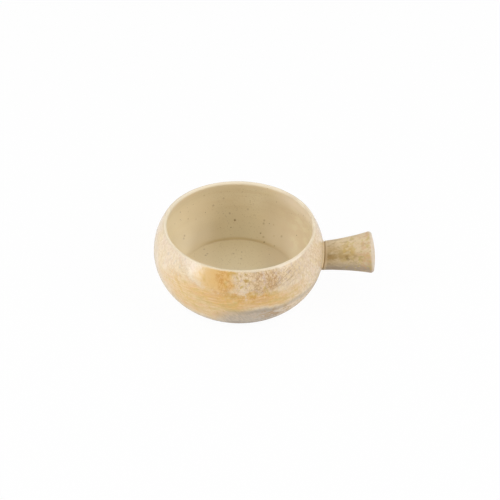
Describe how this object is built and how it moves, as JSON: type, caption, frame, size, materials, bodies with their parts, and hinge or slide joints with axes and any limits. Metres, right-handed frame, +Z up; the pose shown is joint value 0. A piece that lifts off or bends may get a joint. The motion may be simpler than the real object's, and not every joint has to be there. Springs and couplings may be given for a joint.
{
  "type": "french onion soup crock",
  "caption": "Round-bellied stoneware soup crock with a rounded lip, a bare foot ring and a flared hollow stub handle, mottled reactive glaze outside and speckled cream liner inside.",
  "frame": {"origin": "centre of the foot ring, on the plane it stands on", "axes": "+Z up along the bowl's axis, +X along the handle, +Y completes the right-handed frame"},
  "size_m": [0.167, 0.128, 0.056],
  "materials": {
    "bare_clay": "dry, slightly sandy buff stoneware",
    "handle_clay": "dry buff stoneware, bare only at the root and inside",
    "luting_slip": "dark bare slip in a narrow crease",
    "liner_glaze": "warm khaki cream, satin gloss, sparse iron specks",
    "reactive_glaze": "glossy, cream with ochre clouds and veins, pale lilac-grey mottling and a grey-blue sweep",
    "handle_glaze": "satin gloss, mottled tan, olive and brown, thin and light on the edges",
    "base_glaze": "satin cream with few specks"
  },
  "bodies": {
    "root": {"bowl": "bare_clay", "handle": "handle_clay", "handle_joint": "luting_slip", "inside_glaze": "liner_glaze", "outside_glaze": "reactive_glaze", "handle_glaze": "handle_glaze", "underside_glaze": "base_glaze"}
  },
  "joints": []
}
